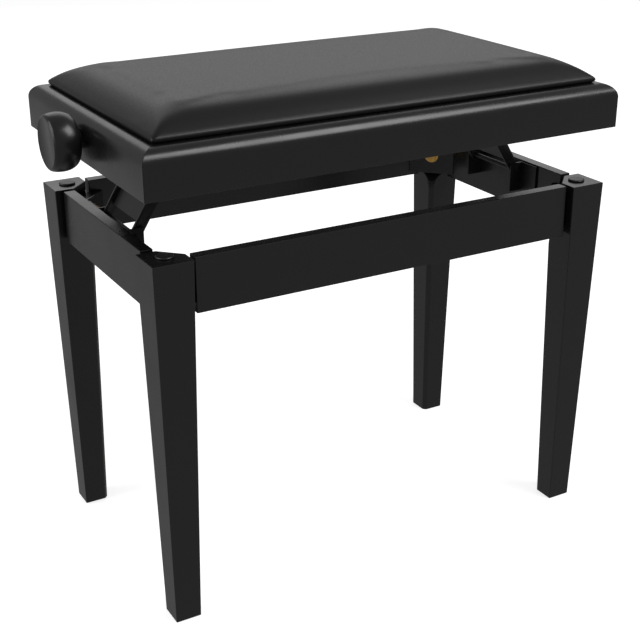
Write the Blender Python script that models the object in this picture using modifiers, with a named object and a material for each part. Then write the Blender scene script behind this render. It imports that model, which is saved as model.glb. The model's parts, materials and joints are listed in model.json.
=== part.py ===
"""Height-adjustable piano bench: a legged base, and a seat on two screw-driven lever linkages.

Metres, +Z up, origin on the floor under the middle of the whole bench. +X runs along the length,
away from the knob; +Y runs from the front to the back.

Each end of the bench has a long lever frame that turns on a rod in the base. The top of the lever
is pushed along the spindle by a nut, and a half-length link ties the lever's middle to the seat,
so that the seat rises straight up as the knob winds the two nuts apart. The pivots at the lever's
top and middle are open: the bolt or boss is there, with clearance round it.

Every piece is drawn in the bench's own frame, whose origin is the middle of the base. Pieces that
repeat are drawn once, for the right end and the back, and mirrored.
"""
import math

import bmesh
import bpy
from mathutils import Matrix, Vector

# Whole bench
KNOB_SIDE_SHIFT = 0.0175     # the knob makes one end longer, so the base stands this far toward +X
GAP = 0.0003                 # clearance between pieces that touch
WOOD_EDGE = 0.0008           # width of the bevel on lacquered edges

# Legs
BASE_LENGTH = 0.550
BASE_DEPTH = 0.322
LEG_HEIGHT = 0.408
LEG_TOP_WIDTH = 0.043
LEG_FOOT_WIDTH = 0.0286
LEG_CHAMFER = 0.022          # 45 degree flat on the inner corner, measured along each face
LEG_CHAMFER_BOTTOM = 0.352
LEG_RUN_OUT = 0.022          # height of the hollow curve from the flat down to the fine chamfer
LEG_RUN_OUT_STEPS = 8
LEG_FINE_CHAMFER = 0.00275   # depth of the fine chamfer below it, measured from the corner
REST_PAD_RADIUS = 0.0092
REST_PAD_HEIGHT = 0.0024

# Aprons and their corner joints
APRON_RECESS = 0.0075
APRON_THICKNESS = 0.0135
APRON_BOTTOM = 0.3493
LONG_APRON_END_GAP = 0.004   # shadow gap between the front or back apron's end and the leg
SIDE_APRON_END_GAP = 0.006
CORNER_BLOCK_THICKNESS = 0.014
CORNER_BLOCK_TOP = 0.395
CORNER_BLOCK_BOTTOM = 0.3545
BOLT_RADIUS = 0.004
BOLT_HEIGHT = 0.3785
BOLT_LENGTH = 0.050
BOLT_OUT_OF_BLOCK = 0.009
LEG_NUT_RADIUS = 0.0075
LEG_NUT_THICKNESS = 0.0065

# Seat
SEAT_LENGTH = 0.562
SEAT_DEPTH = 0.332
RAIL_BOTTOM = 0.4724
RAIL_FACE_TOP = 0.5058
RAIL_TOP = 0.5206
RAIL_ROUND = 0.0163          # how far the moulding's top edge stands back from the face
RAIL_THICKNESS = 0.020
RAIL_ROUND_STEPS = 8
BOARD_THICKNESS = 0.008
CUSHION_LENGTH = 0.5288
CUSHION_DEPTH = 0.2986
CUSHION_TOP = 0.5510
CUSHION_SLOPE = 0.044        # width of the rounded slope round the flat middle
CUSHION_UNDERCUT = 0.002     # how far the bottom edge rolls under
CUSHION_STEPS = 6

# Lever linkage, one at each end
PIVOT_X = 0.2440             # the base pivot and the seat pivot stand above each other
LOWER_PIVOT_Z = 0.3975
SPINDLE_Z = 0.4955
LEVER_ANGLE = math.radians(58.0)
LEVER_Y = 0.039
LEVER_HALF_WIDTH = 0.0065
BAR_THICKNESS = 0.0025
LEVER_EYE_RADIUS = 0.011
LEVER_EYE_BORE = 0.008       # wide enough for the trunnion to wander where the pivot is open
WEB_THICKNESS = 0.002
WEB_SPAN = (0.12, 0.34)      # the web's two edges, as parts of the lever's length
RIVET_RADIUS = 0.0045
RIVET_HEIGHT = 0.0015
LINK_Y = 0.0335
LINK_HALF_WIDTH = 0.006
BOSS_RADIUS = 0.005
PIN_RADIUS = 0.003
TRUNNION_RADIUS = 0.0025
TRUNNION_END_Y = 0.041

# Brackets of folded sheet
BRACKET_SHEET = 0.002
BASE_BRACKET_Y = 0.041
BASE_BRACKET_FOOT = 0.029    # length of the flange that is screwed to the apron
BASE_BRACKET_REACH = 0.0182  # how far the tab stands off the apron
BASE_BRACKET_BOTTOM = 0.372
BASE_BRACKET_TOP = 0.4065
ROD_END_Y = 0.0445
SEAT_BRACKET_Y = 0.028
SEAT_BRACKET_FOOT = 0.022
SEAT_BRACKET_REACH = 0.0247
SEAT_BRACKET_BOTTOM = 0.4855
SEAT_BRACKET_TOP = 0.5055
SEAT_PIN_END_Y = 0.0355

# Spindle
SPINDLE_RADIUS = 0.0055
SPINDLE_RAIL_BORE = 0.0070
SPINDLE_KNOB_END = -0.3010
BEARING_THICKNESS = 0.003
BEARING_HALF_WIDTH = 0.013
BEARING_HALF_HEIGHT = 0.015
COLLAR_RADIUS = 0.009
COLLAR_LENGTH = 0.008
NUT_BLOCK = (0.020, 0.026, 0.022)

# Knob, a turned piece; x is measured from the middle of the base
KNOB_FACE_X = -0.3160
KNOB_FACE_RADIUS = 0.0268
KNOB_RIM = 0.0012
KNOB_WIDEST_X = -0.3030
KNOB_RADIUS = 0.0300
KNOB_INNER_X = -0.2865
KNOB_INNER_RADIUS = 0.0200
KNOB_NECK_X = -0.2815
KNOB_NECK_RADIUS = 0.0100
KNOB_STEPS = 6

# Worked out from the sizes above
LEG_X = (BASE_LENGTH - LEG_TOP_WIDTH) / 2
LEG_Y = (BASE_DEPTH - LEG_TOP_WIDTH) / 2
APRON_X = BASE_LENGTH / 2 - APRON_RECESS
APRON_Y = BASE_DEPTH / 2 - APRON_RECESS
APRON_INNER_X = APRON_X - APRON_THICKNESS
APRON_INNER_Y = APRON_Y - APRON_THICKNESS
RAIL_INNER_X = SEAT_LENGTH / 2 - RAIL_THICKNESS
RAIL_INNER_Y = SEAT_DEPTH / 2 - RAIL_THICKNESS
LEVER_LENGTH = (SPINDLE_Z - LOWER_PIVOT_Z) / math.sin(LEVER_ANGLE)
NUT_X = PIVOT_X - LEVER_LENGTH * math.cos(LEVER_ANGLE)
CHAMFER_FROM_LEG = (LEG_TOP_WIDTH - LEG_CHAMFER) / math.sqrt(2)

RIGHT_WAYS = {"right": 1, "left": -1}
BACK_WAYS = {"back": 1, "front": -1}

for old in list(bpy.data.objects):
    bpy.data.objects.remove(old, do_unlink=True)


def make_collection(name):
    made = bpy.data.collections.new(name)
    bpy.context.scene.collection.children.link(made)
    return made


bench = make_collection("piano_bench")
cutters = make_collection("cutters")


# Materials

def make_material(name, colour, roughness, metallic=0.0):
    material = bpy.data.materials.new(name)
    material.use_nodes = True
    shader = material.node_tree.nodes["Principled BSDF"]
    shader.inputs["Base Color"].default_value = (*colour, 1.0)
    shader.inputs["Roughness"].default_value = roughness
    shader.inputs["Metallic"].default_value = metallic
    return material


LACQUER = make_material("black_lacquer", (0.014, 0.014, 0.014), 0.45)
LEATHERETTE = make_material("black_leatherette", (0.020, 0.020, 0.021), 0.55)
BLACK_STEEL = make_material("black_steel", (0.010, 0.010, 0.010), 0.50, 0.3)
BRIGHT_STEEL = make_material("bright_steel", (0.55, 0.56, 0.58), 0.35, 1.0)
YELLOW_ZINC = make_material("yellow_zinc", (0.75, 0.55, 0.15), 0.35, 1.0)
RUBBER = make_material("black_rubber", (0.020, 0.020, 0.020), 0.75)
PLYWOOD = make_material("plywood", (0.025, 0.022, 0.020), 0.70)


# Bodies: each empty stands on its body's joint axis and carries the body's pieces

def add_body(name, parent, x=0.0, z=0.0):
    empty = bpy.data.objects.new(name, None)
    empty.location = (x, 0.0, z)
    empty.parent = parent
    empty.empty_display_size = 0.03
    bench.objects.link(empty)
    return empty


middle = add_body("bench_middle", None, x=KNOB_SIDE_SHIFT)
base = add_body("base_body", middle)
seat = add_body("seat_body", middle, z=RAIL_BOTTOM)
spindle_body = add_body("spindle_body", middle, z=SPINDLE_Z)
levers, links, nut_blocks = {}, {}, {}
for side, x_way in RIGHT_WAYS.items():
    levers[side] = add_body(f"lever_body_{side}", middle, x_way * PIVOT_X, LOWER_PIVOT_Z)
    links[side] = add_body(f"link_body_{side}", middle, x_way * PIVOT_X, SPINDLE_Z)
    nut_blocks[side] = add_body(f"nut_body_{side}", middle, x_way * NUT_X, SPINDLE_Z)


# Shapes, all in the bench's own frame

def mesh_from(bm, name):
    bmesh.ops.recalc_face_normals(bm, faces=bm.faces)
    mesh = bpy.data.meshes.new(name)
    bm.to_mesh(mesh)
    bm.free()
    return mesh


def smooth_round(mesh):
    mesh.shade_smooth()
    mesh.set_sharp_from_angle(angle=math.radians(35))
    return mesh


def mirrored(mesh, x_way, y_way=1):
    """Turns a shape drawn at the right and the back into the one for another end or corner."""
    mesh.transform(Matrix.Diagonal((x_way, y_way, 1.0, 1.0)))
    if x_way * y_way < 0:
        mesh.flip_normals()
    return mesh


def box_mesh(name, low, high):
    low, high = Vector(low), Vector(high)
    bm = bmesh.new()
    place = Matrix.Translation((low + high) / 2) @ Matrix.Diagonal((*(high - low), 1.0))
    bmesh.ops.create_cube(bm, size=1.0, matrix=place)
    return mesh_from(bm, name)


def rod_mesh(name, start, end, radius, sides=24):
    """A round rod between two points, or with six sides a hexagonal one."""
    start, end = Vector(start), Vector(end)
    along = end - start
    turn = Vector((0, 0, 1)).rotation_difference(along).to_matrix().to_4x4()
    bm = bmesh.new()
    bmesh.ops.create_cone(
        bm, cap_ends=True, segments=sides, radius1=radius, radius2=radius, depth=along.length,
        matrix=Matrix.Translation((start + end) / 2) @ turn)
    return smooth_round(mesh_from(bm, name))


def prism_mesh(name, outline, thickness, place):
    """A flat outline, extruded by its thickness along its own +Z and then placed."""
    bm = bmesh.new()
    face = bm.faces.new([bm.verts.new((x, y, 0.0)) for x, y in outline])
    grown = bmesh.ops.extrude_face_region(bm, geom=[face])["geom"]
    moved = [item for item in grown if isinstance(item, bmesh.types.BMVert)]
    bmesh.ops.translate(bm, verts=moved, vec=(0.0, 0.0, thickness))
    bmesh.ops.transform(bm, matrix=place, verts=bm.verts)
    return mesh_from(bm, name)


def standing(x, y, z, angle=0.0):
    """Places a prism upright: its own +X turns from world +X toward +Z, and it grows toward -Y."""
    return (Matrix.Translation((x, y, z)) @ Matrix.Rotation(math.pi / 2, 4, "X")
            @ Matrix.Rotation(angle, 4, "Z"))


def arc(centre, radius, start, end, steps):
    """Points along an arc, both ends included; the angles are in degrees."""
    angles = [math.radians(start + (end - start) * i / steps) for i in range(steps + 1)]
    return [(centre[0] + radius * math.cos(a), centre[1] + radius * math.sin(a)) for a in angles]


def bar_outline(length, half_width, eye_radius):
    """A flat bar with a round end at the origin and a round eye at its far end."""
    meet = math.degrees(math.asin(half_width / eye_radius))
    return (arc((0.0, 0.0), half_width, 90, 270, 12)
            + arc((length, 0.0), eye_radius, meet - 180, 180 - meet, 20))


# Pieces

def add_piece(name, mesh, material, body):
    """Links a mesh, whose points are in the bench's frame, as one named piece of a body."""
    mesh.transform(Matrix.Translation(-body.location))
    mesh.materials.append(material)
    piece = bpy.data.objects.new(name, mesh)
    piece.parent = body
    bench.objects.link(piece)
    return piece


def bevel(piece, width=WOOD_EDGE, segments=2):
    modifier = piece.modifiers.new("bevel", "BEVEL")
    modifier.width = width
    modifier.segments = segments
    modifier.limit_method = "ANGLE"
    modifier.angle_limit = math.radians(30)


def combine(piece, operation, other_mesh):
    """Cuts or joins a piece with a mesh given in the bench's frame."""
    tool = bpy.data.objects.new(f"{piece.name}_{operation.lower()}", other_mesh)
    tool.parent = middle
    tool.hide_render = True
    tool.display_type = "WIRE"
    cutters.objects.link(tool)
    modifier = piece.modifiers.new(operation.lower(), "BOOLEAN")
    modifier.operation = operation
    modifier.object = tool


def cut(piece, other_mesh):
    combine(piece, "DIFFERENCE", other_mesh)


def join(piece, other_mesh):
    combine(piece, "UNION", other_mesh)


def corner_axis(inward, x_way, y_way):
    """A point on a corner's bolt axis, by its distance from the leg's centre toward the middle."""
    step = inward / math.sqrt(2)
    return x_way * (LEG_X - step), y_way * (LEG_Y - step), BOLT_HEIGHT


def chamfer_cutter(name):
    """What is cut off a leg's inner corner, drawn in the upright plane of the leg's diagonal."""
    top = LEG_HEIGHT + LEG_CHAMFER
    floor = -LEG_CHAMFER
    taper = (LEG_TOP_WIDTH - LEG_FOOT_WIDTH) / math.sqrt(2) / LEG_HEIGHT
    foot = LEG_FOOT_WIDTH / math.sqrt(2) - LEG_FINE_CHAMFER
    run_out_end = LEG_CHAMFER_BOTTOM - LEG_RUN_OUT
    across = foot + taper * run_out_end - CHAMFER_FROM_LEG
    outline = [(CHAMFER_FROM_LEG, top)]
    for i in range(LEG_RUN_OUT_STEPS + 1):
        turn = math.pi / 2 * i / LEG_RUN_OUT_STEPS
        outline.append((CHAMFER_FROM_LEG + across * math.sin(turn), run_out_end + LEG_RUN_OUT * math.cos(turn)))
    outline += [(foot + taper * floor, floor), (LEG_TOP_WIDTH, floor), (LEG_TOP_WIDTH, top)]
    place = (Matrix.Translation((LEG_X, LEG_Y, 0.0)) @ Matrix.Rotation(math.radians(-135), 4, "Z")
             @ standing(0.0, LEG_TOP_WIDTH, 0.0))
    return prism_mesh(name, outline, 2 * LEG_TOP_WIDTH, place)


def make_leg(corner, x_way, y_way, bolt_start, bolt_end):
    """A square leg, tapered on all four faces, with a flat for the corner block at its top."""
    name = f"leg_{corner}"
    bm = bmesh.new()
    place = Matrix.Translation((LEG_X, LEG_Y, LEG_HEIGHT / 2)) @ Matrix.Rotation(math.pi / 4, 4, "Z")
    bmesh.ops.create_cone(
        bm, cap_ends=True, segments=4, radius1=LEG_FOOT_WIDTH / math.sqrt(2),
        radius2=LEG_TOP_WIDTH / math.sqrt(2), depth=LEG_HEIGHT, matrix=place)
    leg = add_piece(name, mirrored(mesh_from(bm, name), x_way, y_way), LACQUER, base)
    cut(leg, mirrored(chamfer_cutter(name + "_flat"), x_way, y_way))
    bevel(leg)
    cut(leg, rod_mesh(name + "_bore", bolt_start, bolt_end, BOLT_RADIUS + GAP))


def make_corner_block(corner, x_way, y_way, bolt_start, bolt_end):
    """A mitred block between two aprons, against the flat on the leg."""
    name = f"corner_block_{corner}"
    outer = LEG_X + LEG_Y - (CHAMFER_FROM_LEG + GAP) * math.sqrt(2)
    inner = outer - CORNER_BLOCK_THICKNESS * math.sqrt(2)
    x_end = APRON_INNER_X - GAP
    y_end = APRON_INNER_Y - GAP
    outline = [(outer - y_end, y_end), (inner - y_end, y_end), (x_end, inner - x_end), (x_end, outer - x_end)]
    mesh = prism_mesh(name, outline, CORNER_BLOCK_TOP - CORNER_BLOCK_BOTTOM,
                      Matrix.Translation((0.0, 0.0, CORNER_BLOCK_BOTTOM)))
    block = add_piece(name, mirrored(mesh, x_way, y_way), LACQUER, base)
    bevel(block)
    cut(block, rod_mesh(name + "_bore", bolt_start, bolt_end, BOLT_RADIUS + GAP))


def make_corner(corner, x_way, y_way):
    """One leg with its block, bolt, nut and the round pad on which the lowered seat comes to rest."""
    block_inner = CHAMFER_FROM_LEG + GAP + CORNER_BLOCK_THICKNESS
    bolt_out = block_inner + BOLT_OUT_OF_BLOCK
    bolt_in = bolt_out - BOLT_LENGTH
    start = corner_axis(bolt_in, x_way, y_way)
    end = corner_axis(bolt_out, x_way, y_way)
    bore_start = corner_axis(bolt_in - GAP, x_way, y_way)
    bore_end = corner_axis(bolt_out + LEG_NUT_THICKNESS, x_way, y_way)
    make_leg(corner, x_way, y_way, bore_start, bore_end)
    make_corner_block(corner, x_way, y_way, bore_start, bore_end)
    name = f"hanger_bolt_{corner}"
    add_piece(name, rod_mesh(name, start, end, BOLT_RADIUS), YELLOW_ZINC, base)
    name = f"leg_nut_{corner}"
    nut_ends = [corner_axis(block_inner + GAP + depth, x_way, y_way) for depth in (0.0, LEG_NUT_THICKNESS)]
    nut = add_piece(name, rod_mesh(name, *nut_ends, LEG_NUT_RADIUS, sides=6), YELLOW_ZINC, base)
    cut(nut, rod_mesh(name + "_bore", bore_start, bore_end, BOLT_RADIUS + GAP))
    name = f"rest_pad_{corner}"
    foot = (x_way * LEG_X, y_way * LEG_Y, LEG_HEIGHT + GAP)
    top = (x_way * LEG_X, y_way * LEG_Y, LEG_HEIGHT + REST_PAD_HEIGHT)
    pad = add_piece(name, rod_mesh(name, foot, top, REST_PAD_RADIUS, sides=32), RUBBER, base)
    bevel(pad, REST_PAD_HEIGHT / 4)


def make_aprons():
    side_end = LEG_Y - LEG_TOP_WIDTH / 2 - SIDE_APRON_END_GAP
    long_end = LEG_X - LEG_TOP_WIDTH / 2 - LONG_APRON_END_GAP
    for side, x_way in RIGHT_WAYS.items():
        name = f"apron_{side}"
        mesh = box_mesh(name, (APRON_INNER_X, -side_end, APRON_BOTTOM), (APRON_X, side_end, LEG_HEIGHT))
        bevel(add_piece(name, mirrored(mesh, x_way), LACQUER, base))
    for side, y_way in BACK_WAYS.items():
        name = f"apron_{side}"
        mesh = box_mesh(name, (-long_end, APRON_INNER_Y, APRON_BOTTOM), (long_end, APRON_Y, LEG_HEIGHT))
        bevel(add_piece(name, mirrored(mesh, 1, y_way), LACQUER, base))


def bracket_mesh(name, wall_x, y, foot, reach, bottom, top):
    """A folded angle of sheet: a flange flat on the wall, and a tab that stands inward from it."""
    outline = [
        (wall_x, y), (wall_x, y + foot), (wall_x - BRACKET_SHEET, y + foot),
        (wall_x - BRACKET_SHEET, y + BRACKET_SHEET), (wall_x - reach, y + BRACKET_SHEET), (wall_x - reach, y)]
    return prism_mesh(name, outline, top - bottom, Matrix.Translation((0.0, 0.0, bottom)))


def make_base_bracket(corner, x_way, y_way):
    name = f"base_bracket_{corner}"
    mesh = bracket_mesh(name, APRON_INNER_X - GAP, BASE_BRACKET_Y, BASE_BRACKET_FOOT, BASE_BRACKET_REACH,
                        BASE_BRACKET_BOTTOM, BASE_BRACKET_TOP)
    bracket = add_piece(name, mirrored(mesh, x_way, y_way), BLACK_STEEL, base)
    bore_x = x_way * PIVOT_X
    cut(bracket, rod_mesh(name + "_bore", (bore_x, 0.0, LOWER_PIVOT_Z), (bore_x, y_way * APRON_Y, LOWER_PIVOT_Z),
                          PIN_RADIUS + GAP))


def make_lever_rod(side, x_way):
    name = f"lever_pivot_rod_{side}"
    ends = [(x_way * PIVOT_X, y, LOWER_PIVOT_Z) for y in (-ROD_END_Y, ROD_END_Y)]
    add_piece(name, rod_mesh(name, *ends, PIN_RADIUS), BLACK_STEEL, base)


def make_seat_bracket(corner, x_way, y_way):
    """The angle that carries a link's upper end, with its pin riveted in."""
    name = f"seat_bracket_{corner}"
    mesh = bracket_mesh(name, RAIL_INNER_X - GAP, SEAT_BRACKET_Y, SEAT_BRACKET_FOOT, SEAT_BRACKET_REACH,
                        SEAT_BRACKET_BOTTOM, SEAT_BRACKET_TOP)
    bracket = add_piece(name, mirrored(mesh, x_way, y_way), BLACK_STEEL, seat)
    root = y_way * (SEAT_BRACKET_Y + BRACKET_SHEET / 2)
    join(bracket, rod_mesh(name + "_pin", (x_way * PIVOT_X, root, SPINDLE_Z),
                           (x_way * PIVOT_X, y_way * SEAT_PIN_END_Y, SPINDLE_Z), PIN_RADIUS))


def rail_mesh(name, half_length, outer):
    """A moulded rail along X at the back, its outer face at y = outer and its ends mitred."""
    rise = RAIL_TOP - RAIL_FACE_TOP
    moulding = [(RAIL_ROUND * (1 - math.cos(a)), RAIL_FACE_TOP + rise * math.sin(a))
                for a in (math.pi / 2 * i / RAIL_ROUND_STEPS for i in range(RAIL_ROUND_STEPS + 1))]
    section = [(0.0, RAIL_BOTTOM)] + moulding + [(RAIL_THICKNESS, RAIL_TOP), (RAIL_THICKNESS, RAIL_BOTTOM)]
    place = Matrix.Translation((0.0, outer, 0.0)) @ Matrix.Rotation(math.pi / 2, 4, "Z") @ Matrix.Rotation(
        math.pi / 2, 4, "X") @ Matrix.Translation((0.0, 0.0, -half_length))
    mesh = prism_mesh(name, [(-depth, z) for depth, z in section], 2 * half_length, place)
    mitre_gap = GAP / math.sqrt(2)
    for vertex in mesh.vertices:
        end = half_length - (outer - vertex.co.y) - mitre_gap
        vertex.co.x = math.copysign(end, vertex.co.x)
    return smooth_round(mesh)


def make_rails():
    for side, y_way in BACK_WAYS.items():
        name = f"rail_{side}"
        mesh = mirrored(rail_mesh(name, SEAT_LENGTH / 2, SEAT_DEPTH / 2), 1, y_way)
        bevel(add_piece(name, mesh, LACQUER, seat))
    for side, x_way in RIGHT_WAYS.items():
        name = f"rail_{side}"
        mesh = rail_mesh(name, SEAT_DEPTH / 2, SEAT_LENGTH / 2)
        mesh.transform(Matrix.Rotation(-math.pi / 2, 4, "Z"))
        rail = add_piece(name, mirrored(mesh, x_way), LACQUER, seat)
        bevel(rail)
        if side == "left":
            cut(rail, rod_mesh(name + "_bore", (-SEAT_LENGTH / 2 - GAP, 0.0, SPINDLE_Z),
                               (-RAIL_INNER_X + GAP, 0.0, SPINDLE_Z), SPINDLE_RAIL_BORE))


def make_board():
    low = (-RAIL_INNER_X + GAP, -RAIL_INNER_Y + GAP, RAIL_TOP - BOARD_THICKNESS)
    high = (RAIL_INNER_X - GAP, RAIL_INNER_Y - GAP, RAIL_TOP)
    add_piece("seat_board", box_mesh("seat_board", low, high), PLYWOOD, seat)


def make_cushion():
    """A slab that is stretched over foam: a rounded slope all round, and a flat middle."""
    name = "cushion"
    bottom = RAIL_TOP + GAP
    height = CUSHION_TOP - bottom
    rolled = (CUSHION_LENGTH - 2 * CUSHION_UNDERCUT, CUSHION_DEPTH - 2 * CUSHION_UNDERCUT)
    bm = bmesh.new()
    bmesh.ops.create_grid(bm, x_segments=1, y_segments=1, size=0.5,
                          matrix=Matrix.Translation((0.0, 0.0, bottom)) @ Matrix.Diagonal((*rolled, 1.0, 1.0)))
    face = bm.faces[:][0]
    rings = [(0.0, CUSHION_UNDERCUT)]
    for i in range(1, CUSHION_STEPS + 1):
        angle = math.pi / 2 * i / CUSHION_STEPS
        rise = CUSHION_UNDERCUT + (height - CUSHION_UNDERCUT) * math.sin(angle)
        rings.append((CUSHION_SLOPE * (1 - math.cos(angle)), rise))
    for inset, rise in rings:
        grown = bmesh.ops.extrude_face_region(bm, geom=[face])["geom"]
        if face.is_valid and inset > 0.0:
            bmesh.ops.delete(bm, geom=[face], context="FACES_ONLY")
        face = next(item for item in grown if isinstance(item, bmesh.types.BMFace))
        for vertex in face.verts:
            vertex.co = (math.copysign(CUSHION_LENGTH / 2 - inset, vertex.co.x),
                         math.copysign(CUSHION_DEPTH / 2 - inset, vertex.co.y), bottom + rise)
    add_piece(name, smooth_round(mesh_from(bm, name)), LEATHERETTE, seat)


def make_lever(side, x_way):
    """Two flat bars and the web that ties them: it turns on the rod in the base."""
    tilt = math.pi - LEVER_ANGLE
    along = Vector((math.cos(tilt), 0.0, math.sin(tilt)))
    foot = Vector((PIVOT_X, 0.0, LOWER_PIVOT_Z))
    outer_y = LEVER_Y + BAR_THICKNESS / 2
    for end, y_way in BACK_WAYS.items():
        name = f"lever_bar_{end}_{side}"
        outline = bar_outline(LEVER_LENGTH, LEVER_HALF_WIDTH, LEVER_EYE_RADIUS)
        mesh = prism_mesh(name, outline, BAR_THICKNESS, standing(PIVOT_X, outer_y, LOWER_PIVOT_Z, tilt))
        bar = add_piece(name, mirrored(smooth_round(mesh), x_way, y_way), BLACK_STEEL, levers[side])
        holes = ((0.0, PIN_RADIUS + GAP), (LEVER_LENGTH, LEVER_EYE_BORE))
        for number, (distance, radius) in enumerate(holes, 1):
            centre = foot + along * distance
            hole = rod_mesh(f"{name}_hole_{number}", (centre.x, 0.0, centre.z),
                            (centre.x, 2 * LEVER_Y, centre.z), radius)
            cut(bar, mirrored(hole, x_way, y_way))
        waist = foot + along * (LEVER_LENGTH / 2)
        rivet = rod_mesh(name + "_rivet", (waist.x, LEVER_Y, waist.z),
                         (waist.x, outer_y + RIVET_HEIGHT, waist.z), RIVET_RADIUS)
        join(bar, mirrored(rivet, x_way, y_way))
    name = f"lever_web_{side}"
    low, high = (LEVER_LENGTH * part for part in WEB_SPAN)
    outline = [(low, -WEB_THICKNESS / 2), (high, -WEB_THICKNESS / 2), (high, WEB_THICKNESS / 2), (low, WEB_THICKNESS / 2)]
    web_y = LEVER_Y - BAR_THICKNESS / 2 - GAP
    mesh = prism_mesh(name, outline, 2 * web_y, standing(PIVOT_X, web_y, LOWER_PIVOT_Z, tilt))
    add_piece(name, mirrored(mesh, x_way), BLACK_STEEL, levers[side])


def make_links(side, x_way):
    """The pair of half-length bars from the seat's pins down to the middle of the lever."""
    tilt = math.pi + LEVER_ANGLE
    length = LEVER_LENGTH / 2
    outer_y = LINK_Y + BAR_THICKNESS / 2
    low_end = Vector((PIVOT_X + length * math.cos(tilt), 0.0, SPINDLE_Z + length * math.sin(tilt)))
    for end, y_way in BACK_WAYS.items():
        name = f"link_bar_{end}_{side}"
        outline = bar_outline(length, LINK_HALF_WIDTH, LINK_HALF_WIDTH)
        mesh = prism_mesh(name, outline, BAR_THICKNESS, standing(PIVOT_X, outer_y, SPINDLE_Z, tilt))
        bar = add_piece(name, mirrored(smooth_round(mesh), x_way, y_way), BLACK_STEEL, links[side])
        hole = rod_mesh(name + "_hole", (PIVOT_X, 0.0, SPINDLE_Z), (PIVOT_X, 2 * LINK_Y, SPINDLE_Z),
                        PIN_RADIUS + GAP)
        cut(bar, mirrored(hole, x_way, y_way))
        boss_end = LEVER_Y - BAR_THICKNESS / 2 - GAP
        boss = rod_mesh(name + "_boss", (low_end.x, LINK_Y, low_end.z), (low_end.x, boss_end, low_end.z),
                        BOSS_RADIUS)
        join(bar, mirrored(boss, x_way, y_way))


def spindle_bore(name):
    """A cutter along the whole spindle, a little wider than it."""
    return rod_mesh(name, (-SEAT_LENGTH / 2, 0.0, SPINDLE_Z), (SEAT_LENGTH / 2, 0.0, SPINDLE_Z),
                    SPINDLE_RADIUS + GAP)


def make_spindle_nut(side, x_way):
    """The block that runs on the thread, with the trunnions that push the lever's two eyes."""
    name = f"spindle_nut_{side}"
    half = [size / 2 for size in NUT_BLOCK]
    low = (NUT_X - half[0], -half[1], SPINDLE_Z - half[2])
    high = (NUT_X + half[0], half[1], SPINDLE_Z + half[2])
    block = add_piece(name, mirrored(box_mesh(name, low, high), x_way), BRIGHT_STEEL, nut_blocks[side])
    join(block, rod_mesh(name + "_trunnions", (x_way * NUT_X, -TRUNNION_END_Y, SPINDLE_Z),
                         (x_way * NUT_X, TRUNNION_END_Y, SPINDLE_Z), TRUNNION_RADIUS))
    cut(block, spindle_bore(name + "_bore"))


def make_bearing(side, x_way):
    name = f"spindle_bearing_{side}"
    wall = RAIL_INNER_X - GAP
    low = (wall - BEARING_THICKNESS, -BEARING_HALF_WIDTH, SPINDLE_Z - BEARING_HALF_HEIGHT)
    high = (wall, BEARING_HALF_WIDTH, SPINDLE_Z + BEARING_HALF_HEIGHT)
    plate = add_piece(name, mirrored(box_mesh(name, low, high), x_way), BLACK_STEEL, seat)
    cut(plate, spindle_bore(name + "_bore"))


def make_spindle():
    """The screw, and the collar that keeps it from being pulled out by its knob."""
    ends = [(x, 0.0, SPINDLE_Z) for x in (SPINDLE_KNOB_END, RAIL_INNER_X - GAP)]
    add_piece("spindle", rod_mesh("spindle", *ends, SPINDLE_RADIUS), BRIGHT_STEEL, spindle_body)
    collar_x = -(RAIL_INNER_X - BEARING_THICKNESS - 2 * GAP)
    ends = [(x, 0.0, SPINDLE_Z) for x in (collar_x, collar_x + COLLAR_LENGTH)]
    collar = add_piece("spindle_collar", rod_mesh("spindle_collar", *ends, COLLAR_RADIUS), BRIGHT_STEEL,
                       spindle_body)
    cut(collar, spindle_bore("spindle_collar_bore"))


def knob_profile():
    """Radius and distance out along the spindle, from the middle of the outer face round to the bore."""
    bulge = KNOB_RADIUS - KNOB_FACE_RADIUS
    points = [(0.0, -KNOB_FACE_X), (KNOB_FACE_RADIUS - KNOB_RIM, -KNOB_FACE_X)]
    outer_run = KNOB_WIDEST_X - KNOB_FACE_X - KNOB_RIM
    for i in range(KNOB_STEPS + 1):
        angle = math.pi / 2 * i / KNOB_STEPS
        points.append((KNOB_FACE_RADIUS + bulge * math.sin(angle), -KNOB_WIDEST_X + outer_run * math.cos(angle)))
    inner_run = KNOB_INNER_X - KNOB_WIDEST_X
    shrink = KNOB_RADIUS - KNOB_INNER_RADIUS
    for i in range(1, KNOB_STEPS + 1):
        angle = math.pi / 2 * i / KNOB_STEPS
        points.append((KNOB_INNER_RADIUS + shrink * math.cos(angle), -KNOB_WIDEST_X - inner_run * math.sin(angle)))
    bore = SPINDLE_RADIUS + GAP
    bore_end = -SPINDLE_KNOB_END + GAP
    return points + [(KNOB_NECK_RADIUS, -KNOB_INNER_X), (KNOB_NECK_RADIUS, -KNOB_NECK_X), (bore, -KNOB_NECK_X),
                     (bore, bore_end), (0.0, bore_end)]


def make_knob():
    """A turned barrel with a flat outer face, on the left end of the spindle."""
    bm = bmesh.new()
    points = [bm.verts.new((radius, 0.0, out)) for radius, out in knob_profile()]
    for first, second in zip(points, points[1:]):
        bm.edges.new((first, second))
    mesh = bpy.data.meshes.new("knob")
    bm.to_mesh(mesh)
    bm.free()
    mesh.materials.append(LACQUER)
    knob = bpy.data.objects.new("knob", mesh)
    knob.parent = spindle_body
    knob.rotation_euler = (0.0, -math.pi / 2, 0.0)
    bench.objects.link(knob)
    turning = knob.modifiers.new("turning", "SCREW")
    turning.axis = "Z"
    turning.steps = 48
    turning.render_steps = 48
    turning.use_merge_vertices = True
    turning.merge_threshold = 0.0001
    turning.use_smooth_shade = True


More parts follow.
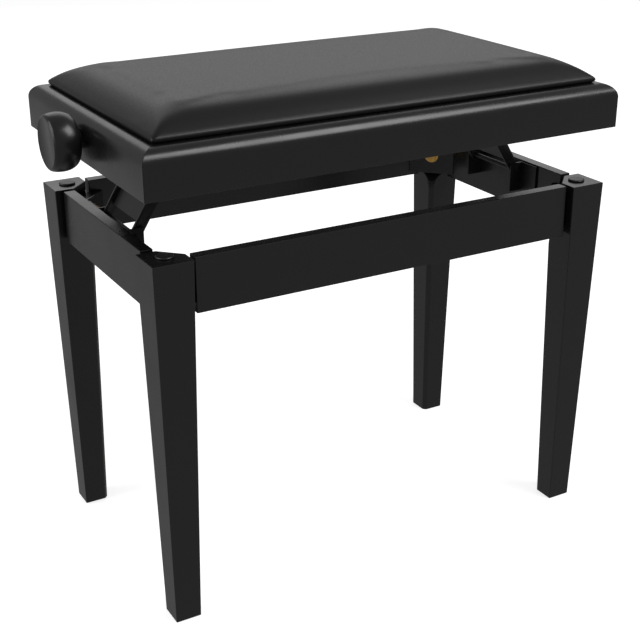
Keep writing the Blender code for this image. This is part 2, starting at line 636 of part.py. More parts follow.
make_aprons()
make_rails()
make_board()
make_cushion()
make_spindle()
make_knob()
for side, x_way in RIGHT_WAYS.items():
    make_lever_rod(side, x_way)
    make_lever(side, x_way)
    make_links(side, x_way)
    make_spindle_nut(side, x_way)
    make_bearing(side, x_way)
    for depth_side, y_way in BACK_WAYS.items():
        corner = f"{depth_side}_{side}"
        make_corner(corner, x_way, y_way)
        make_base_bracket(corner, x_way, y_way)
        make_seat_bracket(corner, x_way, y_way)
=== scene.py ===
# %% [markdown]
# # A height-adjustable piano bench
# The bench is a black lacquered base, a padded seat, and two screw-driven lever linkages between
# them. The solid model already holds every part at its real size, and it comes in as a frame that
# is never moved. This lesson makes the looks: it gives the straight parts their finish, and builds
# finer pieces where a flat facet would show, such as the mouldings, the knob and the cushion.

# %% Load the frame
import json
import math

import bmesh
import bpy
from mathutils import Matrix, Vector


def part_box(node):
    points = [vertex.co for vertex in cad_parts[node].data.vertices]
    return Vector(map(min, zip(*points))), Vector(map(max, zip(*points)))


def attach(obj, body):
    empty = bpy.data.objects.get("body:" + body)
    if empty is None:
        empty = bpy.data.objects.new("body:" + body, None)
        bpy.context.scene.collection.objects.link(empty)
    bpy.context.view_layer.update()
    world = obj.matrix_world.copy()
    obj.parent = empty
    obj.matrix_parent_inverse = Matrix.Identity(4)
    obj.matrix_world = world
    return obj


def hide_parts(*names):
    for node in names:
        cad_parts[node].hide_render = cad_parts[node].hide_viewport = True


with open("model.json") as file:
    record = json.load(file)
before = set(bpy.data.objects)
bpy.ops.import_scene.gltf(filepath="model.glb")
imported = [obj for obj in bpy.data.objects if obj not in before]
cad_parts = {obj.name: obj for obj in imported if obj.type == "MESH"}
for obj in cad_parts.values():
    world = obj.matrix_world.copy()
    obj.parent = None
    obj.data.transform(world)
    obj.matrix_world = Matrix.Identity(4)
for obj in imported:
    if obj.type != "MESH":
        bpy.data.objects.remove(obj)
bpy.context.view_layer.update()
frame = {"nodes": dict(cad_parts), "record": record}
MM = 0.001
ENDS = {"right": 1, "left": -1}
SIDES = {"back": 1, "front": -1}

# %% [markdown]
# ## Camera
# The bench is seen from its front left corner and from a little above the seat, with a short
# telephoto lens. The camera is given as a place, a heading, a downward tilt and a slight roll, in
# the frame's own metres, so nothing has to be aimed by eye.

# %% Camera
CAMERA_PLACE = (-0.6558, -1.1744, 0.8135)
CAMERA_HEADING = math.radians(29.695)
CAMERA_TILT = math.radians(22.904)
CAMERA_ROLL = math.radians(-0.138)
camera_data = bpy.data.cameras.new("camera")
camera_data.lens = 69.51
camera_data.sensor_width = 36.0
camera = bpy.data.objects.new("camera", camera_data)
bpy.context.scene.collection.objects.link(camera)
camera.matrix_world = (
    Matrix.Translation(CAMERA_PLACE)
    @ Matrix.Rotation(-CAMERA_HEADING, 4, "Z")
    @ Matrix.Rotation(math.pi / 2 - CAMERA_TILT, 4, "X")
    @ Matrix.Rotation(CAMERA_ROLL, 4, "Z"))
bpy.context.scene.camera = camera
print("camera", [round(value, 3) for value in camera.location], "lens", camera_data.lens, "mm")

# %% [markdown]
# ## Helpers for colours and nodes
# Colours are written as the hex values a painter would pick on a screen, and one function turns
# them into the linear numbers that the renderer needs. Another adds one node with its settings and
# links, which keeps every material short.

# %% Colour and node helpers


def linear(hex_colour):
    """An sRGB hex colour as linear red, green, blue and an alpha of 1."""
    parts = [int(hex_colour[i:i + 2], 16) / 255 for i in (1, 3, 5)]
    return [part / 12.92 if part <= 0.04045 else ((part + 0.055) / 1.055) ** 2.4 for part in parts] + [1.0]


def add_node(tree, kind, settings=None, links=None):
    """Adds a node; a setting or link is named by its socket, by its number, or by its property."""
    node = tree.nodes.new(kind)
    for name, value in (settings or {}).items():
        if isinstance(name, int) or name in node.inputs:
            node.inputs[name].default_value = value
        else:
            setattr(node, name, value)
    for name, source in (links or {}).items():
        tree.links.new(source, node.inputs[name])
    return node


def start_material(name, settings):
    """A Principled material, its node tree, its shader and its Object coordinates."""
    material = bpy.data.materials.new(name)
    material.use_nodes = True
    tree = material.node_tree
    shader = tree.nodes["Principled BSDF"]
    for socket, value in settings.items():
        shader.inputs[socket].default_value = value
    place = add_node(tree, "ShaderNodeTexCoord").outputs["Object"]
    return material, tree, shader, place


# %% [markdown]
# ## Floor, backdrop and light
# A black object on a white ground shows its shape only by what it reflects. A plain white floor and
# a soft studio are enough: a broad box on the left, a wide one behind, which lies along the top
# faces, one in front and above, which draws a line along the mouldings, and a dim even fill. The
# floor doesn't show in the lacquer, as with a bench that is cut out from its ground. It glows a
# little to the camera only, so that it stays white between the legs.

# %% Floor, world and lights
FLOOR_SIZE = 40.0
FLOOR_GLOW = 0.72
FILL_STRENGTH = 0.30
FLOOR_DROP = 0.2 * MM    # keeps the floor clear of the legs' ends
bm = bmesh.new()
bmesh.ops.create_grid(bm, x_segments=1, y_segments=1, size=FLOOR_SIZE / 2)
floor_mesh = bpy.data.meshes.new("floor")
bm.to_mesh(floor_mesh)
bm.free()
floor = bpy.data.objects.new("floor", floor_mesh)
floor.location.z = -FLOOR_DROP
bpy.context.scene.collection.objects.link(floor)
floor_paint, tree, shader, place = start_material("white_studio_floor", {
    "Base Color": linear("#d8d8d8"), "Roughness": 0.9, "Specular IOR Level": 0.0,
    "Emission Color": linear("#ffffff")})
seen = add_node(tree, "ShaderNodeLightPath").outputs["Is Camera Ray"]
glow = add_node(tree, "ShaderNodeMath", {"operation": "MULTIPLY", 1: FLOOR_GLOW}, {0: seen})
tree.links.new(glow.outputs[0], shader.inputs["Emission Strength"])
floor_mesh.materials.append(floor_paint)
floor.visible_glossy = False

world = bpy.data.worlds.new("studio")
bpy.context.scene.world = world
world.use_nodes = True
tree = world.node_tree
tree.nodes.clear()
is_camera = add_node(tree, "ShaderNodeLightPath").outputs["Is Camera Ray"]
fill = add_node(tree, "ShaderNodeBackground", {"Color": linear("#ffffff"), "Strength": FILL_STRENGTH})
backdrop = add_node(tree, "ShaderNodeBackground", {"Color": linear("#ffffff"), "Strength": 1.0})
chosen = add_node(tree, "ShaderNodeMixShader", None,
                  {0: is_camera, 1: fill.outputs[0], 2: backdrop.outputs[0]})
add_node(tree, "ShaderNodeOutputWorld", None, {"Surface": chosen.outputs[0]})

SOFTBOXES = {
    # name: (place, aimed at, width, height, power in watts)
    "left_box": ((-2.6, 0.6, 1.6), (0.0, 0.0, 0.3), 2.0, 2.4, 34.0),
    "back_box": ((1.2, 2.8, 2.2), (0.0, 0.0, 0.5), 3.4, 2.2, 18.5),
    "front_box": ((1.46, -1.67, 2.81), (0.0, 0.0, 0.5), 1.7, 1.7, 52.0),
}
for name, (spot, aim, width, height, power) in SOFTBOXES.items():
    lamp = bpy.data.lights.new(name, "AREA")
    lamp.shape = "RECTANGLE"
    lamp.size = width
    lamp.size_y = height
    lamp.energy = power
    box_light = bpy.data.objects.new(name, lamp)
    box_light.location = spot
    box_light.rotation_euler = (Vector(aim) - Vector(spot)).to_track_quat("-Z", "Y").to_euler()
    bpy.context.scene.collection.objects.link(box_light)
bpy.context.scene.view_settings.view_transform = "Standard"
print(len(SOFTBOXES), "soft boxes")

# %% [markdown]
# ## Satin black lacquer
# The legs, aprons and mouldings are hardwood under sprayed black lacquer. A sprayer leaves a faint
# orange peel about 2 mm across, and the sheen varies slowly over a few centimetres, where the coat
# was thicker. Both are so slight that they only stir the reflections.

# %% Satin black lacquer
lacquer, tree, shader, place = start_material("sprayed_satin_lacquer", {
    "Base Color": linear("#141414"), "IOR": 1.5})
peel = add_node(tree, "ShaderNodeTexNoise", {"Scale": 1 / (2.2 * MM), "Detail": 2.0, "Roughness": 0.4},
                {"Vector": place})
cloud = add_node(tree, "ShaderNodeTexNoise", {"Scale": 1 / (45 * MM), "Detail": 3.0, "Roughness": 0.5},
                 {"Vector": place})
gloss = add_node(tree, "ShaderNodeMapRange",
                 {"From Min": 0.3, "From Max": 0.7, "To Min": 0.22, "To Max": 0.30},
                 {"Value": cloud.outputs["Fac"]})
tree.links.new(gloss.outputs["Result"], shader.inputs["Roughness"])
relief = add_node(tree, "ShaderNodeBump", {"Strength": 0.35, "Distance": 0.02 * MM},
                  {"Height": peel.outputs["Fac"]})
tree.links.new(relief.outputs["Normal"], shader.inputs["Normal"])

# %% [markdown]
# ## Black leatherette
# Leatherette is vinyl embossed with a leather grain: rounded pebbles a millimetre or so across.
# Cell noise gives the pebbles, and a finer noise the wrinkles on them. The valleys between the
# pebbles are painted darker, as painted shade in the sunk grain. The pebbles are drawn a little
# coarser than the real ones, so that they show at all.

# %% Black leatherette
leatherette, tree, shader, place = start_material("embossed_black_leatherette", {
    "IOR": 1.47, "Specular IOR Level": 0.36})
warp = add_node(tree, "ShaderNodeTexNoise", {"Scale": 1 / (5 * MM), "Detail": 2.0}, {"Vector": place})
bent = add_node(tree, "ShaderNodeVectorMath", {"operation": "MULTIPLY_ADD", 1: (0.9 * MM,) * 3},
                {0: warp.outputs["Color"], 2: place})
pebbles = add_node(tree, "ShaderNodeTexVoronoi", {"feature": "F1", "Scale": 1 / (1.5 * MM)},
                   {"Vector": bent.outputs[0]})
wrinkles = add_node(tree, "ShaderNodeTexNoise", {"Scale": 1 / (0.7 * MM), "Detail": 3.0, "Roughness": 0.6},
                    {"Vector": place})
grain = add_node(tree, "ShaderNodeMath", {"operation": "MULTIPLY_ADD", 1: 0.3},
                 {0: wrinkles.outputs["Fac"], 2: pebbles.outputs["Distance"]})
painted_valley_shade = add_node(tree, "ShaderNodeMapRange", {"From Min": 0.1, "From Max": 0.8}, {"Value": grain.outputs[0]})
# Painted shade: the colour darkens from #101011 to #080808 toward the sunk valleys of the grain.
shade = add_node(tree, "ShaderNodeMix",
                 {"data_type": "RGBA", 6: linear("#101011"), 7: linear("#080808")},
                 {0: painted_valley_shade.outputs["Result"]})
tree.links.new(shade.outputs[2], shader.inputs["Base Color"])
dull = add_node(tree, "ShaderNodeMapRange",
                {"From Min": 0.1, "From Max": 0.8, "To Min": 0.30, "To Max": 0.42},
                {"Value": grain.outputs[0]})
tree.links.new(dull.outputs["Result"], shader.inputs["Roughness"])
relief = add_node(tree, "ShaderNodeBump", {"Strength": 0.35, "Distance": -0.06 * MM},
                  {"Height": grain.outputs[0]})
tree.links.new(relief.outputs["Normal"], shader.inputs["Normal"])

# %% [markdown]
# ## The metals
# The brackets and bars are mild steel under black paint, which is a little glossier than the wood
# and shows the sheet's texture through it. The screw, its nuts and the rods are zinc plated: a
# bright, slightly cloudy metal. The leg nuts have a yellow chromate over the zinc, whose colour
# drifts between straw and rose.

# %% Painted and plated steel
painted, tree, shader, place = start_material("black_painted_steel", {
    "Base Color": linear("#151515"), "IOR": 1.5})
speck = add_node(tree, "ShaderNodeTexNoise", {"Scale": 1 / (1.2 * MM), "Detail": 3.0}, {"Vector": place})
gloss = add_node(tree, "ShaderNodeMapRange", {"To Min": 0.28, "To Max": 0.46},
                 {"Value": speck.outputs["Fac"]})
tree.links.new(gloss.outputs["Result"], shader.inputs["Roughness"])
relief = add_node(tree, "ShaderNodeBump", {"Strength": 0.4, "Distance": 0.04 * MM},
                  {"Height": speck.outputs["Fac"]})
tree.links.new(relief.outputs["Normal"], shader.inputs["Normal"])


def plated(name, colours, cloud_size, roughness):
    """A zinc-plated metal whose colour and polish drift over cloud_size."""
    material, tree, shader, place = start_material(name, {"Metallic": 1.0})
    drift = add_node(tree, "ShaderNodeTexNoise", {"Scale": 1 / cloud_size, "Detail": 4.0}, {"Vector": place})
    ramp = add_node(tree, "ShaderNodeMapRange", {"From Min": 0.3, "From Max": 0.7},
                    {"Value": drift.outputs["Fac"]})
    shade = add_node(tree, "ShaderNodeMix",
                     {"data_type": "RGBA", 6: linear(colours[0]), 7: linear(colours[1])},
                     {0: ramp.outputs["Result"]})
    tree.links.new(shade.outputs[2], shader.inputs["Base Color"])
    gloss = add_node(tree, "ShaderNodeMapRange", {"To Min": roughness[0], "To Max": roughness[1]},
                     {"Value": drift.outputs["Fac"]})
    tree.links.new(gloss.outputs["Result"], shader.inputs["Roughness"])
    return material


bright_zinc = plated("clear_zinc_plate", ("#a9adb2", "#c8cbcf"), 6 * MM, (0.22, 0.42))
yellow_zinc = plated("yellow_chromate_zinc", ("#d9ae45", "#cf9f6e"), 3 * MM, (0.2, 0.4))

# %% [markdown]
# ## Rubber and plywood
# The rest pads are moulded black rubber, smooth but not glossy. The board under the cushion is
# birch plywood stained black: the stain leaves the grain to be seen, straight lines along the bench
# about 3 mm apart. The grain is noise that is stretched along X.

# %% Rubber and plywood
rubber, tree, shader, place = start_material("moulded_black_rubber", {
    "Base Color": linear("#1b1b1b"), "IOR": 1.52})
grit = add_node(tree, "ShaderNodeTexNoise", {"Scale": 1 / (0.5 * MM), "Detail": 2.0}, {"Vector": place})
gloss = add_node(tree, "ShaderNodeMapRange", {"To Min": 0.30, "To Max": 0.44},
                 {"Value": grit.outputs["Fac"]})
tree.links.new(gloss.outputs["Result"], shader.inputs["Roughness"])
relief = add_node(tree, "ShaderNodeBump", {"Strength": 0.3, "Distance": 0.03 * MM},
                  {"Height": grit.outputs["Fac"]})
tree.links.new(relief.outputs["Normal"], shader.inputs["Normal"])

plywood, tree, shader, place = start_material("black_stained_plywood", {"IOR": 1.5, "Roughness": 0.6})
stretch = add_node(tree, "ShaderNodeMapping", {"Scale": (0.04, 1.0, 1.0)}, {"Vector": place})
lines = add_node(tree, "ShaderNodeTexNoise", {"Scale": 1 / (3 * MM), "Detail": 5.0, "Roughness": 0.6},
                 {"Vector": stretch.outputs[0]})
shade = add_node(tree, "ShaderNodeMix",
                 {"data_type": "RGBA", 6: linear("#211d1a"), 7: linear("#131110")},
                 {0: lines.outputs["Fac"]})
tree.links.new(shade.outputs[2], shader.inputs["Base Color"])
relief = add_node(tree, "ShaderNodeBump", {"Strength": 0.4, "Distance": 0.05 * MM},
                  {"Height": lines.outputs["Fac"]})
tree.links.new(relief.outputs["Normal"], shader.inputs["Normal"])

# %% [markdown]
# ## Give the straight parts their finish
# Legs, aprons, blocks, brackets and bars have the right shape already, down to their bevels, so
# they only take a material. Each part says which finish it has by its slot in the record, and one
# table turns the slot into a material.

# %% Finish of the carried-over parts
FINISHES = {
    "black_lacquer": lacquer, "black_leatherette": leatherette, "black_steel": painted,
    "bright_steel": bright_zinc, "yellow_zinc": yellow_zinc, "black_rubber": rubber, "plywood": plywood}
for part in frame["record"]["subparts"]:
    node = frame["nodes"][part["node"]]
    node.data.materials.clear()
    node.data.materials.append(FINISHES[part["material_slot"]])
print(len(frame["nodes"]), "parts took a finish")

# %% [markdown]
# ## Helpers for new pieces
# A new piece is shaped in a bmesh and then handed over: its doubles are merged, its faces turned
# outward, and it is smoothed except over sharp edges. It rides on a body of the frame and names
# the slot of its finish.

# %% Piece helpers
SHARP = math.radians(32)


def bake(bm, name, sharp=SHARP):
    """Turns a finished bmesh into an object with smooth shading between its sharp edges."""
    bmesh.ops.remove_doubles(bm, verts=bm.verts, dist=1e-6)
    bmesh.ops.recalc_face_normals(bm, faces=bm.faces)
    mesh = bpy.data.meshes.new(name)
    bm.to_mesh(mesh)
    bm.free()
    mesh.shade_smooth()
    mesh.set_sharp_from_angle(angle=sharp)
    piece = bpy.data.objects.new(name, mesh)
    bpy.context.scene.collection.objects.link(piece)
    return piece


def hand_over(piece, slot, body, *nodes):
    """Gives a new piece its finish, its body, and the solid parts that it stands for."""
    piece.data.materials.append(FINISHES[slot])
    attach(piece, body)
    if nodes:
        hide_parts(*nodes)
    return piece


def lathe(bm, profile, start, axis, steps=64):
    """Adds a shape turned on a lathe: (radius, distance) pairs spun about an axis from a start point."""
    older = set(bm.verts)
    points = [bm.verts.new((radius, 0.0, along)) for radius, along in profile]
    edges = [bm.edges.new(pair) for pair in zip(points, points[1:])]
    bmesh.ops.spin(bm, geom=points + edges, cent=(0, 0, 0), axis=(0, 0, 1), angle=math.tau, steps=steps,
                   use_merge=True)
    turn = Vector((0, 0, 1)).rotation_difference(Vector(axis)).to_matrix().to_4x4()
    newer = [vertex for vertex in bm.verts if vertex not in older]
    bmesh.ops.transform(bm, matrix=Matrix.Translation(start) @ turn, verts=newer)


def turned(name, profile, start, axis, steps=64):
    """A piece that is one such shape."""
    bm = bmesh.new()
    lathe(bm, profile, start, axis, steps)
    return bake(bm, name)


def rounded(corners, radius, steps=4):
    """The same (radius, distance) pairs with every inner corner rounded off."""
    points = [corners[0]]
    for before, corner, after in zip(corners, corners[1:], corners[2:]):
        here, back, forth = Vector(corner), Vector(before), Vector(after)
        cut = min(radius, (back - here).length / 2, (forth - here).length / 2)
        first = here + (back - here).normalized() * cut
        last = here + (forth - here).normalized() * cut
        for i in range(steps + 1):
            t = i / steps
            points.append(tuple(first * (1 - t) ** 2 + here * 2 * t * (1 - t) + last * t * t))
    return points + [corners[-1]]


# %% [markdown]
# ## Mouldings of the seat frame
# Each rail is a bar whose top outer edge is a quarter round, and whose ends are mitred. A cube is
# bevelled along that one edge with many segments, and two slanted cuts make the mitres. The round
# is a little wider than it is high, so the bar is bevelled first and then stretched in depth.

# %% Mouldings
ROUND_HEIGHT = 14.8 * MM
ROUND_DEPTH = 16.3 * MM
ROUND_STEPS = 20
ARRIS = 0.6 * MM
MITRE_GAP = 0.15 * MM


def make_rail(name, length, across, outer, turn):
    """A moulded rail along X at the back, cut to its mitres and then turned to its side."""
    low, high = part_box(name)
    height = high.z - low.z
    stretch = ROUND_DEPTH / ROUND_HEIGHT
    bm = bmesh.new()
    size = Matrix.Diagonal((length, across / stretch, height, 1.0))
    bmesh.ops.create_cube(bm, size=1.0, matrix=size)
    edge = max(bm.edges, key=lambda e: sum(v.co.y + v.co.z for v in e.verts))
    bmesh.ops.bevel(bm, geom=[edge], affect="EDGES", offset=ROUND_HEIGHT, segments=ROUND_STEPS, profile=0.5,
                    material=-1)
    bottom = [e for e in bm.edges if all(v.co.z < 0 for v in e.verts)
              and abs(e.verts[0].co.x - e.verts[1].co.x) > across]
    bmesh.ops.bevel(bm, geom=bottom, affect="EDGES", offset=ARRIS, segments=2, profile=0.5, material=-1)
    place = (Matrix.Translation((0.0, outer - across / 2, low.z + height / 2))
             @ Matrix.Diagonal((1.0, stretch, 1.0, 1.0)))
    bmesh.ops.transform(bm, matrix=place, verts=bm.verts)
    for way in (1, -1):
        corner = Vector((way * length / 2, outer, 0.0))
        normal = Vector((way, -1.0, 0.0)).normalized()
        cut = bmesh.ops.bisect_plane(bm, geom=bm.verts[:] + bm.edges[:] + bm.faces[:],
                                     plane_co=corner - normal * MITRE_GAP, plane_no=normal, clear_outer=True)
        rim = [item for item in cut["geom_cut"] if isinstance(item, bmesh.types.BMEdge)]
        bmesh.ops.holes_fill(bm, edges=rim)
    centre = Vector((sum(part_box("rail_front")[i].x for i in (0, 1)) / 2, 0.0, 0.0))
    bmesh.ops.transform(bm, matrix=Matrix.Translation(centre) @ Matrix.Rotation(turn, 4, "Z"), verts=bm.verts)
    hand_over(bake(bm, f"moulding_{name}"), "black_lacquer", "seat", name)


seat_low = Vector((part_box("rail_left")[0].x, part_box("rail_front")[0].y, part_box("rail_front")[0].z))
seat_high = Vector((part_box("rail_right")[1].x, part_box("rail_back")[1].y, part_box("rail_back")[1].z))
seat_size = seat_high - seat_low
rail_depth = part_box("rail_back")[1].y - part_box("rail_back")[0].y
make_rail("rail_back", seat_size.x, rail_depth, seat_size.y / 2, 0.0)
make_rail("rail_front", seat_size.x, rail_depth, seat_size.y / 2, math.pi)
make_rail("rail_left", seat_size.y, rail_depth, seat_size.x / 2, math.pi / 2)
make_rail("rail_right", seat_size.y, rail_depth, seat_size.x / 2, -math.pi / 2)
print("seat frame", [round(value / MM, 1) for value in seat_size], "mm")

# %% [markdown]
# ## Cushion
# Leatherette is stretched over a block of foam and stapled under the board. Its sides are rounded
# slopes, and where two slopes meet at a corner the cover is folded into a crease, which fades out
# as it climbs. The height at each point is the lower one of two slopes, which gives the crease, and
# the bottom edge rolls under. Then the cover is inflated as cloth for a moment, so that it bellies
# like a stuffed thing. No point may move as much as a millimetre, because real leatherette is
# stretched smooth over its foam and the free cloth would dent along the shoulder.

# %% Cushion
CELL = 5 * MM
EDGE_RISE = 4.5 * MM
ROLL_UNDER = 2.6 * MM
SLOPE_WIDTH = 54 * MM
SLOPE_BEND = (1.75, 0.92)    # powers that round the slope off at its top and at its bottom
FOLD_FADE = 16 * MM          # how widely the fold is blended where it reaches the top
FOLD_START = 0.1 * MM
CROWN = 2.2 * MM
PUFF_LIMIT = 0.8 * MM
cushion_low, cushion_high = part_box("cushion")
cushion_middle = (cushion_low + cushion_high) / 2
half_x = (cushion_high.x - cushion_low.x) / 2
half_y = (cushion_high.y - cushion_low.y) / 2
SLOPE_RISE = cushion_high.z - cushion_low.z - EDGE_RISE - CROWN + FOLD_FADE / 8


def slope(inset):
    """Height of the stretched cover above its bottom edge, by the distance in from that edge."""
    part = min(max(inset, 0.0) / SLOPE_WIDTH, 1.0)
    return SLOPE_RISE * (1 - (1 - part) ** SLOPE_BEND[0]) ** SLOPE_BEND[1]


def corner_fold(first, second):
    """The lower one of two slopes, with the fold between them sharp low down and faded at the top."""
    low = min(first, second)
    soft = FOLD_FADE * (low / SLOPE_RISE) ** 1.5 + FOLD_START
    return low - max(soft - abs(first - second), 0.0) ** 2 / (4 * soft)


def crown(x, y):
    """The slight rise of the foam toward the middle of the seat."""
    return CROWN * (1 - (x / half_x) ** 2) * (1 - (y / half_y) ** 2)


bm = bmesh.new()
bmesh.ops.create_grid(bm, x_segments=round(2 * half_x / CELL), y_segments=round(2 * half_y / CELL), size=1.0,
                      matrix=Matrix.Diagonal((half_x, half_y, 1.0, 1.0)))
underside = bm.verts[:]
grown = bmesh.ops.extrude_face_region(bm, geom=bm.faces[:], use_keep_orig=True)["geom"]
for vertex in (item for item in grown if isinstance(item, bmesh.types.BMVert)):
    x, y = vertex.co.x, vertex.co.y
    vertex.co.z = EDGE_RISE + corner_fold(slope(half_x - abs(x)), slope(half_y - abs(y))) + crown(x, y)
for vertex in underside:
    if abs(vertex.co.x) > half_x - CELL / 2:
        vertex.co.x -= math.copysign(ROLL_UNDER, vertex.co.x)
    if abs(vertex.co.y) > half_y - CELL / 2:
        vertex.co.y -= math.copysign(ROLL_UNDER, vertex.co.y)
bmesh.ops.translate(bm, verts=bm.verts, vec=(cushion_middle.x, cushion_middle.y, cushion_low.z))
cushion = bake(bm, "leatherette_cushion", math.pi)


def inflate(piece, held, limit, pressure=4.0, frames=20):
    """Runs the cover as cloth under pressure, and keeps the result within limit of where it was."""
    start = [vertex.co.copy() for vertex in piece.data.vertices]
    pins = piece.vertex_groups.new(name="stapled")
    pins.add([i for i, place in enumerate(start) if held(place)], 1.0, "REPLACE")
    cloth = piece.modifiers.new("cover", "CLOTH")
    cloth.settings.quality = 6
    cloth.settings.vertex_group_mass = pins.name
    cloth.settings.use_pressure = True
    cloth.settings.uniform_pressure_force = pressure
    cloth.settings.effector_weights.gravity = 0.0
    cloth.settings.tension_stiffness = 30.0
    cloth.settings.bending_stiffness = 3.0
    cloth.point_cache.frame_start = 1
    cloth.point_cache.frame_end = frames
    for number in range(1, frames + 1):
        bpy.context.scene.frame_set(number)
    shaped = piece.evaluated_get(bpy.context.evaluated_depsgraph_get())
    ends = [vertex.co.copy() for vertex in shaped.data.vertices]
    piece.modifiers.remove(cloth)
    most = 0.0
    for vertex, before, after in zip(piece.data.vertices, start, ends):
        move = after - before
        if move.length > limit:
            move *= limit / move.length
        most = max(most, move.length)
        vertex.co = before + move
    piece.vertex_groups.remove(pins)
    bpy.context.scene.frame_set(1)
    print(piece.name, "moved by up to", round(most / MM, 2), "mm")


inflate(cushion, lambda place: place.z < cushion_low.z + EDGE_RISE * 1.1, PUFF_LIMIT)
finer = cushion.modifiers.new("finer", "SUBSURF")
finer.levels = 1
finer.render_levels = 1
hand_over(cushion, "black_leatherette", "seat", "cushion")

# %% [markdown]
# ## Knob
# The knob is turned from wood: a short barrel, widest near its flat outer face, with a crisp rim
# round the face and a neck toward the rail. A lathe profile is spun about the spindle's axis.

# %% Knob
knob_low, knob_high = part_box("knob")
axis_y = (knob_low.y + knob_high.y) / 2
axis_z = (knob_low.z + knob_high.z) / 2
knob_radius = (knob_high.z - knob_low.z) / 2
knob_length = knob_high.x - knob_low.x
FACE_INSET = 3.2 * MM
RIM_DROP = 0.5 * MM
WIDEST = 13 * MM             # how far behind the face the barrel is widest
INNER_RADIUS = 20 * MM       # of the barrel where it steps in to the neck
NECK_RADIUS = 10 * MM
NECK_LENGTH = 5 * MM
face_radius = knob_radius - FACE_INSET
neck_start = knob_length - NECK_LENGTH


def swell(narrow, start, steps):
    """A quarter of an ellipse, from a narrow radius at start to the full radius at the widest place."""
    turns = [math.pi / 2 * i / steps for i in range(steps + 1)]
    return [(narrow + (knob_radius - narrow) * math.sin(turn), WIDEST + (start - WIDEST) * math.cos(turn))
            for turn in turns]


profile = [(0.0, 0.0), (face_radius - 1.6 * MM, 0.0), (face_radius - 1.0 * MM, -0.25 * MM),
           (face_radius - 0.4 * MM, 0.0), (face_radius, RIM_DROP)]
profile += swell(face_radius, RIM_DROP, 12)[1:]
profile += swell(INNER_RADIUS, neck_start, 14)[-2::-1]
profile += [(NECK_RADIUS, neck_start), (NECK_RADIUS, knob_length), (0.0, knob_length)]
knob = turned("turned_knob", profile, (knob_low.x, axis_y, axis_z), (1, 0, 0), 96)
hand_over(knob, "black_lacquer", "screw", "knob")

# %% [markdown]
# ## Rest pads
# A round rubber button sits on each leg, so that the lowered seat doesn't knock on the lacquer. It
# is a plain disc with a soft edge.

# %% Rest pads
PAD_EDGE = 0.7 * MM
for side in SIDES:
    for end in ENDS:
        node = f"rest_pad_{side}_{end}"
        low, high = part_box(node)
        middle = (low + high) / 2
        radius = (high.x - low.x) / 2
        height = high.z - low.z
        outline = rounded([(0.0, height), (radius * 0.9, height * 0.95), (radius, height * 0.6),
                           (radius, 0.0), (0.0, 0.0)], PAD_EDGE)
        hand_over(turned(f"button_{side}_{end}", outline, (middle.x, middle.y, low.z), (0, 0, 1), 40),
                  "black_rubber", "base", node)

# %% [markdown]
# ## Bars of the lift
# The levers and links are flat steel bars with round ends, and punching leaves their edges slightly
# rounded, which draws a thin bright line along each bar. The outline is two arcs, each one a vertex
# swung about an eye; the outline and its holes are filled, extruded and bevelled round the rims.

# %% Lever and link bars
BAR_EDGE = 0.35 * MM
pivots = {joint["name"]: Vector(joint["pos_m"]) for joint in frame["record"]["behaviour"]["joints"]
          if joint["type"] == "hinge"}


def swing(bm, start, centre, angle, steps):
    """Swings a vertex about a centre, and returns the arc's two ends."""
    first = bm.verts.new(start)
    swung = bmesh.ops.spin(bm, geom=[first], cent=centre, axis=(0, 0, 1), angle=angle, steps=steps)
    return first, next(item for item in swung["geom_last"] if isinstance(item, bmesh.types.BMVert))


def flat_bar(bm, foot, eye, half_width, eye_radius, holes, y_low, y_high):
    """Adds a bar from a foot to an eye; holes are (distance along it, radius)."""
    older = set(bm.verts)
    length = (eye - foot).length
    meet = math.asin(half_width / eye_radius)
    near = swing(bm, (0.0, half_width, 0.0), (0.0, 0.0, 0.0), math.pi, 12)
    far = swing(bm, (length - eye_radius * math.cos(meet), -half_width, 0.0), (length, 0.0, 0.0),
                math.tau - 2 * meet, 24)
    bm.edges.new((near[1], far[0]))
    bm.edges.new((far[1], near[0]))
    for distance, radius in holes:
        bmesh.ops.create_circle(bm, cap_ends=False, segments=28, radius=radius,
                                matrix=Matrix.Translation((distance, 0.0, 0.0)))
    loops = [edge for edge in bm.edges if edge.is_wire]
    sheet = bmesh.ops.triangle_fill(bm, edges=loops, use_beauty=True, normal=(0.0, 0.0, 1.0))["geom"]
    sheet = [item for item in sheet if isinstance(item, bmesh.types.BMFace)]
    grown = bmesh.ops.extrude_face_region(bm, geom=sheet, use_keep_orig=True)["geom"]
    top = [item for item in grown if isinstance(item, bmesh.types.BMVert)]
    bmesh.ops.translate(bm, verts=top, vec=(0.0, 0.0, y_high - y_low))
    newer = [vertex for vertex in bm.verts if vertex not in older]
    faces = list({face for vertex in newer for face in vertex.link_faces})
    bmesh.ops.recalc_face_normals(bm, faces=faces)
    rims = [edge for edge in {edge for face in faces for edge in face.edges}
            if edge.calc_face_angle(0.0) > math.radians(60)]
    bmesh.ops.bevel(bm, geom=rims, affect="EDGES", offset=BAR_EDGE, segments=2, profile=0.5, material=-1)
    along = (eye - foot).normalized()
    across = Vector((-along.z, 0.0, along.x))
    place = Matrix(((along.x, across.x, 0.0, foot.x), (0.0, 0.0, -1.0, y_high),
                    (along.z, across.z, 0.0, foot.z), (0.0, 0.0, 0.0, 1.0)))
    newer = [vertex for vertex in bm.verts if vertex not in older]
    bmesh.ops.transform(bm, matrix=place, verts=newer)


